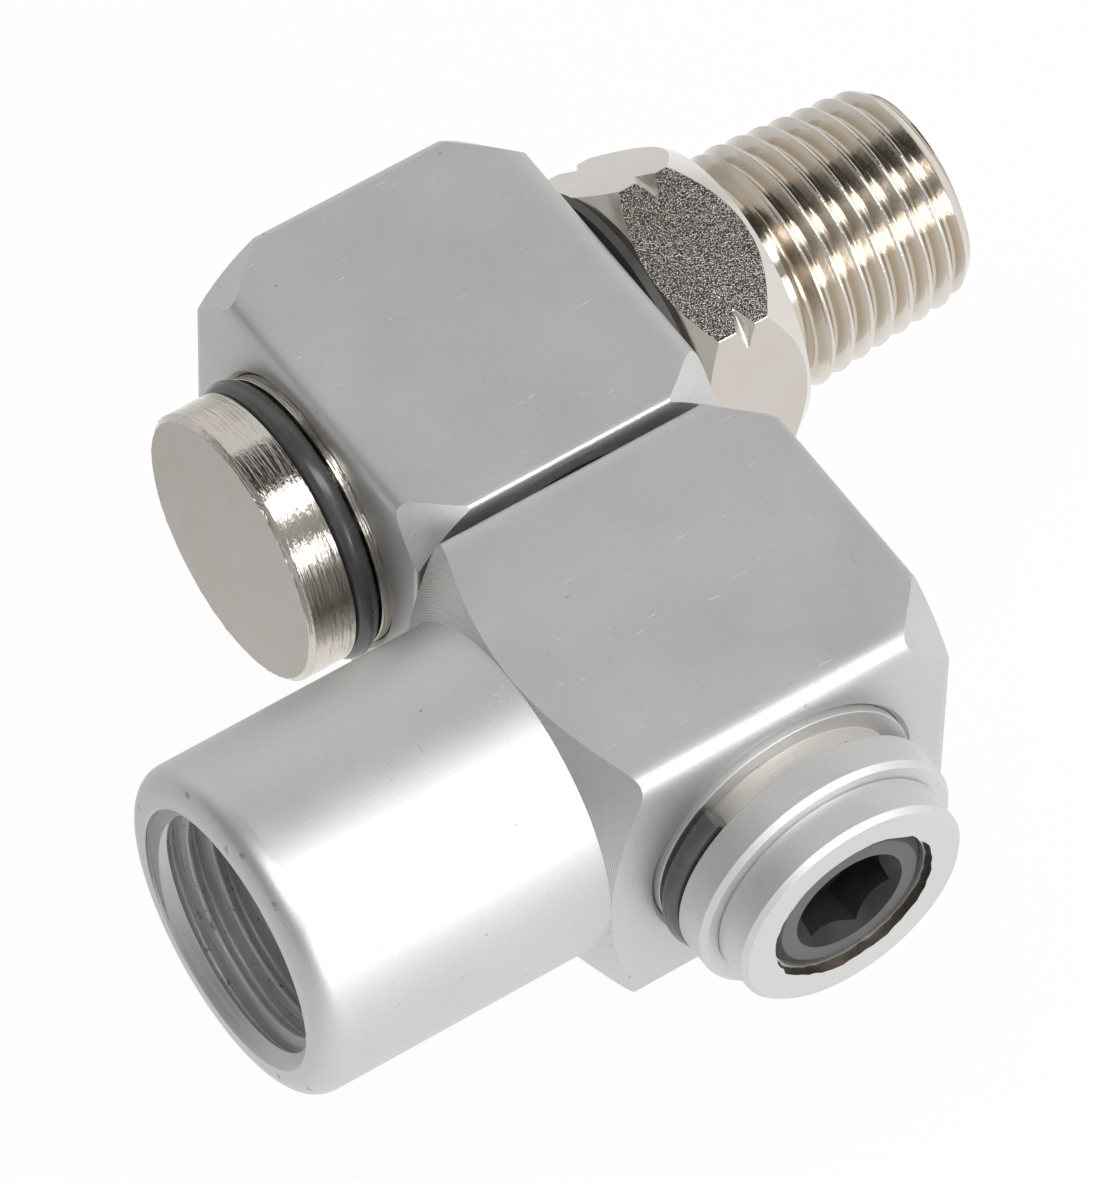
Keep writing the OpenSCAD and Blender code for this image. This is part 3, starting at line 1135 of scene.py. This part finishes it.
@dataclass
class OutletBlock(Block):
    """Outlet block with its spigot, snap ring and plug screw."""

    journal: Journal = field(default_factory=Journal)
    near: float = -10.4
    far: float = 10.5
    end_rounding: float = 0.48
    near_chamfer: Station = (2.35, 1.8)
    far_chamfer: Station = (3.1, 2.05)
    land_y: float = -30.25
    flange_y: float = -32.0
    boss_y: float = -34.15
    end_y: float = -36.5
    boss_r: float = 6.85
    boss_step: float = 0.12
    ring_floor_r: float = 6.68
    bevel: float = 0.3
    plug_face: float = -36.1
    plug_r: float = 4.7
    plug_len: float = 5.0
    plug_chamfer: float = 0.5
    plug_gap: float = 0.02
    socket_af: float = 5.0
    socket_depth: float = 2.8
    socket_turn: float = 45.5
    ring_opening: float = 71.0

    def outline(self) -> list[Station]:
        """Turned outline of the spigot, from its boss into the block."""
        r, floor_r, step_r = self.journal.radius, self.ring_floor_r, self.boss_r - self.boss_step
        step_y, root = self.boss_y - self.boss_step, self.near + 0.8
        spigot = eased([(self.end_y, 0), (self.end_y, self.boss_r - self.bevel),
                        (self.end_y + self.bevel, self.boss_r), (step_y, self.boss_r),
                        (step_y, step_r), (self.boss_y, step_r), (self.boss_y, r - self.bevel),
                        (self.boss_y + self.bevel, r), (self.flange_y, r),
                        (self.flange_y, floor_r), (self.land_y, floor_r), (self.land_y, r),
                        (self.land_y + 1, r)])
        return spigot[:-1] + self.journal.stations(INLET_Y) + [(root, r), (root, 0)]

    def shape(self) -> Piece:
        """Builds the block's solid, in millimetres."""
        piece = square_bar("outlet_body", Axis.Y, self.near, self.far, self.bar_w)
        round_end(piece, Axis.Y, self.near, self.end_rounding)
        round_end(piece, Axis.Y, self.far, self.end_rounding)
        trim = self.trim(self.near, self.near_chamfer, -1)[::-1]
        trim += self.trim(self.far, self.far_chamfer, 1)
        combine(piece, Join.SHARED, turned("trim", trim, Axis.Y))
        combine(piece, Join.MORE, turned("spigot", self.outline(), Axis.Y))
        combine(piece, Join.LESS, self.bore(Axis.X), self.plug_hole(), self.staked_edge())
        self.journal.drill(piece, (0, INLET_Y, 0), (0, QUARTER, 0))
        weld(piece)
        return piece

    def plug_hole(self) -> Piece:
        """Cutter for the plug screw's seat and the drilling along the spigot."""
        hole, air = self.plug_r + self.plug_gap, self.journal.air_r
        bottom = self.plug_face + self.plug_len + self.plug_gap
        return turned("plug_hole", [(self.end_y - 1, 0), (self.end_y - 1, hole), (bottom, hole),
                                    (bottom, air), (0, air), (0, 0)], Axis.Y, FINE_STEPS)

    def staked_edge(self) -> Piece:
        """Uneven cutter for the ragged edge around the plug screw."""
        y = self.end_y
        cutter = turned("staking", [(y - 1, 0), (y - 1, 4.98), (y + 0.05, 4.9), (y + 0.5, 4.84),
                                    (y + 0.5, 0)], Axis.Y, 64)
        with chosen(cutter, Element.FACE, lambda face: abs(face.normal.y) < 0.6):
            bpy.ops.transform.vertex_random(offset=0.11, uniform=0.0, normal=0.0, seed=4)
        return cutter

    def plug(self) -> Piece:
        """Builds the plug screw with its hexagon socket, in millimetres."""
        r, face, back = self.plug_r, self.plug_face, self.plug_face + self.plug_len
        cut = self.plug_chamfer
        piece = turned("plug", eased([(face, 0), (face, r - cut), (face + cut, r), (back - cut, r),
                                      (back, r - cut), (back, 0)], 0.12), Axis.Y, FINE_STEPS)
        entry = [(face - 0.5, 0), (face - 0.5, 3.8), (face + 0.75, 2.5), (face + 0.75, 0)]
        combine(piece, Join.LESS,
                hexagon_bar("socket", Axis.Y, face - 1, face + self.socket_depth, self.socket_af,
                            self.socket_turn), turned("entry", entry, Axis.Y, FINE_STEPS))
        weld(piece)
        return piece

    def build(self) -> None:
        """Makes and dresses the block, the ring and the plug screw."""
        piece = self.shape()
        turning = ToolMarks(Axis.Y, CROSSING, 0.13, 0.004)
        cone = zone(Axis.Y, (self.near - WELD, self.near + 2.6), slope=(-0.9, -0.3))
        groove = zone(Axis.Y, (self.flange_y, self.land_y), below(self.journal.radius))
        staked = zone(Axis.Y, below(self.plug_face + 0.6), below(5.35), above(-0.9))
        socket = zone(Axis.Y, (self.plug_face + 0.02, self.plug_face + 3), below(3.3))
        # Turned faces take a lighter copy of the aluminium, painted light for the shaded cones;
        # flats take a darker copy, painted shade toning down the lit flats
        Aluminium("aluminium_outlet_turned", (0.695, 0.695, 0.692), marks=turning).dress(piece)
        Aluminium("aluminium_outlet_flats", (0.632, 0.632, 0.63)).dress(
            piece, lambda face: self.is_bar(face, Axis.Y))
        chatter = ToolMarks(Axis.Y, CROSSING, 0.14, 0.05, 0.3)
        # Near cone beside the inlet block: a lighter copy of the aluminium, painted light in the
        # crevice's shade
        Aluminium("aluminium_chatter", (0.79, 0.79, 0.788), 0.44, wear=0.6, dent_gap=1.6,
                  marks=chatter).dress(piece, lambda face: face.center.x < 0 and cone(face))
        # Ring groove: a lighter copy of the aluminium, painted light in the shaded groove, with
        # real brown dirt
        Aluminium("aluminium_groove", (0.84, 0.835, 0.825), marks=turning, dirt=0.15,
                  dirt_and_shade_colour=(0.42, 0.33, 0.21)).dress(piece, groove)
        # Staked hole around the plug: near-black brown, dirt with painted shade in the gap between
        # block and plug
        Aluminium("aluminium_staking", (0.085, 0.07, 0.055), 0.6).dress(piece, staked)
        deliver(piece, "outlet", "block_aluminium", "outlet_block")
        SnapRing("spigot_ring", Axis.Y, (self.flange_y + self.land_y) / 2,
                 self.ring_opening).build("outlet", "spigot_snap_ring")
        plug = self.plug()
        BlackOxide("black_plug", (0.072, 0.072, 0.075), 0.42, grain=0.003).dress(plug)
        # Hexagon socket and its entry cone: a darker copy of the black oxide, painted shade in the
        # recess
        BlackOxide("black_socket", (0.022, 0.02, 0.02), 0.4, grain=0.01,
                   gloss=0.16).dress(plug, socket)
        deliver(plug, "outlet", "plug_steel", "plug_screw")


@dataclass
class InletBlock(Block):
    """Inlet block: square bar turned down to a barrel, with its threaded port."""

    thread: PipeThread = field(default_factory=PipeThread)
    end_x: float = 10.4
    end_rounding: float = 0.5
    end_chamfer: Station = (2.9, 1.95)
    shoulder_x: float = -10.6
    shoulder_fall: float = 1.9
    barrel_r: float = 9.45
    mouth_x: float = -28.0
    rim_r: float = 1.4
    sink_r: float = 7.45
    drill_r: float = 5.75
    tap_r: float = 7.5
    tap_fall: float = 0.07
    tap_shift: Station = (0.11, 0.04)
    thread_turn: float = 80.0
    port_depth: float = 13.0
    passage_r: float = 4.0

    def outline(self) -> list[Station]:
        """Turned outline along X, from the mouth to the plain end."""
        rim = [(self.mouth_x + self.rim_r * (1 - math.cos(t)),
                self.barrel_r - self.rim_r * (1 - math.sin(t)))
               for t in (math.radians(7.5 * step) for step in range(13))]
        rise = 1 + OVER / (self.bar_corner_r - self.barrel_r)
        return ([(self.mouth_x, 0)] + rim + [(self.shoulder_x, self.barrel_r),
                (self.shoulder_x + self.shoulder_fall * rise, self.bar_corner_r + OVER)]
                + self.trim(self.end_x, self.end_chamfer, 1))

    def port(self) -> tuple[Piece, Piece]:
        """Cutters for the port's countersink, bore and passage, and for its thread."""
        mouth, end = self.mouth_x, self.mouth_x + self.port_depth
        point = (self.drill_r - self.passage_r) / math.tan(DRILL_POINT)
        sink = mouth + self.sink_r - self.drill_r
        bore = turned("port", eased([
            (mouth - 0.6, 0), (mouth - 0.6, self.sink_r + 1.6), (mouth, self.sink_r + 0.1),
            (sink, self.drill_r), (end, self.drill_r), (end + point, self.passage_r),
            (0, self.passage_r), (0, 0)], 0.25), Axis.X)
        tap = self.thread.solid("tap", mouth - 1.2, end - 1.6, self.tap_r, self.tap_fall)
        tap.rotation_euler.x = math.radians(self.thread_turn)
        tap.location.yz = self.tap_shift
        apply_place(tap)
        return bore, tap

    def shape(self) -> Piece:
        """Builds the block's solid, in millimetres."""
        piece = square_bar("inlet_body", Axis.X, self.mouth_x - 1, self.end_x, self.bar_w)
        round_end(piece, Axis.X, self.end_x, self.end_rounding)
        combine(piece, Join.SHARED, turned("outline", self.outline(), Axis.X))
        combine(piece, Join.LESS, self.bore(Axis.Y), *self.port())
        weld(piece)
        return piece

    def is_sink(self, face: Face) -> bool:
        """Tells the countersink at the port's mouth by its slope and place."""
        place, depth = face.center.yz.length, face.center.x - self.mouth_x
        at_mouth = depth < 0.12 and self.sink_r - 0.1 < place < self.sink_r + 0.2
        on_cone = abs(place + depth - self.sink_r - 0.1) < 0.06
        return at_mouth or on_cone and abs(face.normal.x + 0.707) < 0.03

    def build(self) -> None:
        """Makes and dresses the block."""
        piece = self.shape()
        shoulder = zone(Axis.X, (self.shoulder_x - 2.2, self.shoulder_x + 2.2), slope=below(-0.3))
        barrel = zone(Axis.X, below(self.shoulder_x), above(self.sink_r))
        rim = zone(Axis.X, below(self.mouth_x + self.rim_r), above(self.sink_r))
        inside = zone(Axis.X, below(self.shoulder_x), below(self.tap_r + 0.1))

        def marks(*values: float) -> ToolMarks:
            """Rings about the barrel's axis, from their pitch, depth and steadiness."""
            return ToolMarks(Axis.X, (0.0, INLET_Y, 0.0), *values)

        Aluminium("aluminium_inlet_turned", marks=marks(0.13, 0.004)).dress(piece)
        Aluminium("aluminium_shoulder", marks=marks(0.16, 0.024, 0.8)).dress(piece, shoulder)
        # Flats take a slightly darker copy of the aluminium, painted shade toning down the lit
        # flats
        Aluminium("aluminium_inlet_flats", (0.628, 0.628, 0.626)).dress(
            piece, lambda face: face.center.x > self.shoulder_x + 0.05
            and self.is_bar(face, Axis.X))
        Aluminium("aluminium_barrel", wear=0.4,
                  marks=marks(0.1, 0.002, 0.1)).dress(piece, barrel)
        Aluminium("aluminium_rim", roughness=0.47, wear=0.8, dent_gap=1.8, dent_size=0.15,
                  marks=marks(0.12, 0.008, 0.1)).dress(piece, rim)
        Aluminium("aluminium_sink", (0.6, 0.6, 0.597), 0.45, wear=0.4,
                  marks=marks(0.17, 0.045, 0.2)).dress(piece, self.is_sink)
        # Port: a lighter copy of the aluminium, painted light in the deep bore, with painted shade
        # at its mouth
        Aluminium("aluminium_port", (0.9, 0.895, 0.885), 0.66, dirt=0.18,
                  marks=marks(0.09, 0.06, 0.0), painted_mouth_shade=(self.mouth_x + 0.6, self.mouth_x + 1.6)
                  ).dress(piece, lambda face: inside(face) and not self.is_sink(face))
        piece.location.y = INLET_Y
        apply_place(piece)
        deliver(piece, "inlet", "block_aluminium", "inlet_block")


class HiddenParts:
    """Seals and thrust washers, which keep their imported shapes."""

    def build(self) -> None:
        """Gives them their rubber and plastic."""
        rubber = Moulded("seal_rubber", (0.028, 0.028, 0.03), 0.42)
        # The washers' near-black colour is partly painted shade for the slot between outlet block
        # and hexagon, where they show
        plastic = Moulded("washer_plastic", (0.035, 0.034, 0.033), 0.5)
        for name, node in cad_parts.items():
            if "seal" in name or "washer" in name:
                node.data.materials.clear()
                (rubber if "seal" in name else plastic).dress(node)
                LOG.info("%s keeps its packed shape", name)


# Studio


@dataclass
class Studio:
    """Pale floor, soft light and the photograph's camera.

    Attributes:
        spot: Place of the camera.
        turn: Its right, up and back directions.
        glow: Share of the floor's look that glows by itself.
        faded: Tone of the glow at the far left, seen in reflections alone.
        fades: Direction of each fade, and its start and end in metres.
        lamps: What softbox takes for each lamp.
    """

    floor_z: float = -42.0
    lens: float = 357.3
    sensor: float = 36.0
    spot: Triple = (-232.9, -304.1, 494.9)
    turn: tuple[Triple, ...] = ((0.8277, -0.5608, 0.0157), (0.4464, 0.6754, 0.5870),
                                (-0.3398, -0.4789, 0.8094))
    paper: Colour = (0.86, 0.86, 0.86)
    glow: float = 0.94
    faded: Colour = (0.69, 0.69, 0.69)
    fades: tuple[Any, ...] = (((-0.834, 0.551, 0), 0.049, 0.078), ((-0.35, 0.937, 0), 0.060, 0.088))
    east: Colour = (0.845, 0.845, 0.842)
    west: Colour = (0.245, 0.24, 0.235)
    beside_lamp: Colour = (0.375, 0.375, 0.375)
    overhead: Colour = (0.04, 0.04, 0.04)
    horizon: Colour = (0.98, 0.98, 0.98)
    lamp_reach: float = 0.8
    lamps: tuple[Any, ...] = (("upper_box", -10, 72, (0.957, 0.247), 5.58),
                              ("lower_box", 12, 22.6, (0.692, 0.289), 4.9))

    def camera(self) -> None:
        """Sets the camera where the photograph was taken from."""
        data = bpy.data.cameras.new("camera")
        data.lens, data.sensor_fit, data.sensor_height = self.lens, "VERTICAL", self.sensor
        data.clip_start, data.clip_end = 0.01, 20.0
        camera = bpy.data.objects.new("camera", data)
        bpy.context.scene.collection.objects.link(camera)
        camera.matrix_world = (Matrix.Translation(Vector(self.spot) * MM)
                               @ Matrix(self.turn).transposed().to_4x4())
        bpy.context.scene.camera = camera

    def floor(self) -> None:
        """Lays a pale floor below the reach of the swinging blocks."""
        floor = add("floor", bpy.ops.mesh.primitive_grid_add, x_subdivisions=8, y_subdivisions=8,
                    size=6, location=(0, 0, self.floor_z * MM))
        material = bpy.data.materials.new("floor_paper")
        recipe = Recipe(material)
        recipe.set(Base_Color=self.paper, Roughness=0.9, Specular_IOR_Level=0.1)
        ray = recipe.node("ShaderNodeLightPath").outputs
        bounced = recipe.math("MAXIMUM", ray["Is Glossy Ray"], ray["Is Transmission Ray"])
        seen = recipe.math("MAXIMUM", ray["Is Camera Ray"], bounced)
        where = recipe.place()
        left, far = (recipe.spread(recipe.dot(where, way), start, end)
                     for way, start, end in self.fades)
        fade = recipe.times(recipe.math("MAXIMUM", left, far), ray["Is Glossy Ray"])
        light = recipe.node("ShaderNodeEmission", {
            "Color": recipe.mix(fade, (1.0, 1.0, 1.0), self.faded), "Strength": 1.0})
        paper = recipe.tree.nodes["Principled BSDF"]
        mixed = recipe.node("ShaderNodeMixShader", {
            0: recipe.times(seen, self.glow), 1: paper.outputs[0], 2: light.outputs[0]})
        recipe.join(recipe.tree.nodes["Material Output"].inputs["Surface"], mixed.outputs[0])
        floor.data.materials.append(material)

    def world(self) -> None:
        """Grey surroundings with a dark strip overhead and a pale horizon."""
        world = bpy.data.worlds.new("studio")
        bpy.context.scene.world = world
        recipe = Recipe(world)
        way = recipe.node("ShaderNodeTexCoord").outputs["Generated"]
        east, north, height = recipe.node("ShaderNodeSeparateXYZ", {0: way}).outputs
        aside = recipe.math("ABSOLUTE", recipe.math("SUBTRACT", north, 0.19))
        strip = recipe.times(recipe.spread(aside, 0.356, 0.316),
                             recipe.spread(height, 0.653, 0.853))
        beside = recipe.times(recipe.spread(height, 0.47, 0.57), recipe.spread(height, 0.85, 0.75))
        beside = recipe.times(recipe.spread(north, -0.15, -0.35), beside)
        tone = recipe.mix(recipe.spread(east, -0.28, -0.58), self.east, self.west)
        for share, colour in ((beside, self.beside_lamp), (strip, self.overhead),
                              (recipe.spread(height, 0.12, 0.02), self.horizon)):
            tone = recipe.mix(share, tone, colour)
        recipe.join(recipe.tree.nodes["Background"].inputs["Color"], tone)

    def softbox(self, name: str, azimuth: float, height: float, size: Station,
                level: float) -> None:
        """Hangs a soft area lamp that faces the part.

        Args:
            name: Name of the lamp.
            azimuth: Direction from the part, in degrees from -Y toward +X.
            height: Height over the horizon, in degrees.
            size: Width and height of the lamp, in metres.
            level: Brightness of its face, where 1 is white.
        """
        data = bpy.data.lights.new(name, "AREA")
        data.shape, data.size, data.size_y = "RECTANGLE", *size
        data.energy = level * math.pi * size[0] * size[1]
        lamp = bpy.data.objects.new(name, data)
        lamp.visible_camera = False
        bpy.context.scene.collection.objects.link(lamp)
        a, h = math.radians(azimuth), math.radians(height)
        way = Vector((math.sin(a) * math.cos(h), -math.cos(a) * math.cos(h), math.sin(h)))
        lamp.matrix_world = (Matrix.Translation(way * self.lamp_reach)
                             @ way.to_track_quat("Z", "Y").to_matrix().to_4x4())

    def build(self) -> None:
        """Sets up the studio."""
        self.camera()
        self.floor()
        self.world()
        for lamp in self.lamps:
            self.softbox(*lamp)
        bpy.context.scene.view_settings.view_transform = "Standard"


def main() -> None:
    """Builds each sub-assembly in order."""
    logging.basicConfig(level=logging.INFO, format="%(message)s")
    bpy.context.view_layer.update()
    for part in (Studio(), Spindle(), OutletBlock(), InletBlock(), HiddenParts()):
        part.build()


if __name__ == "__main__":
    main()
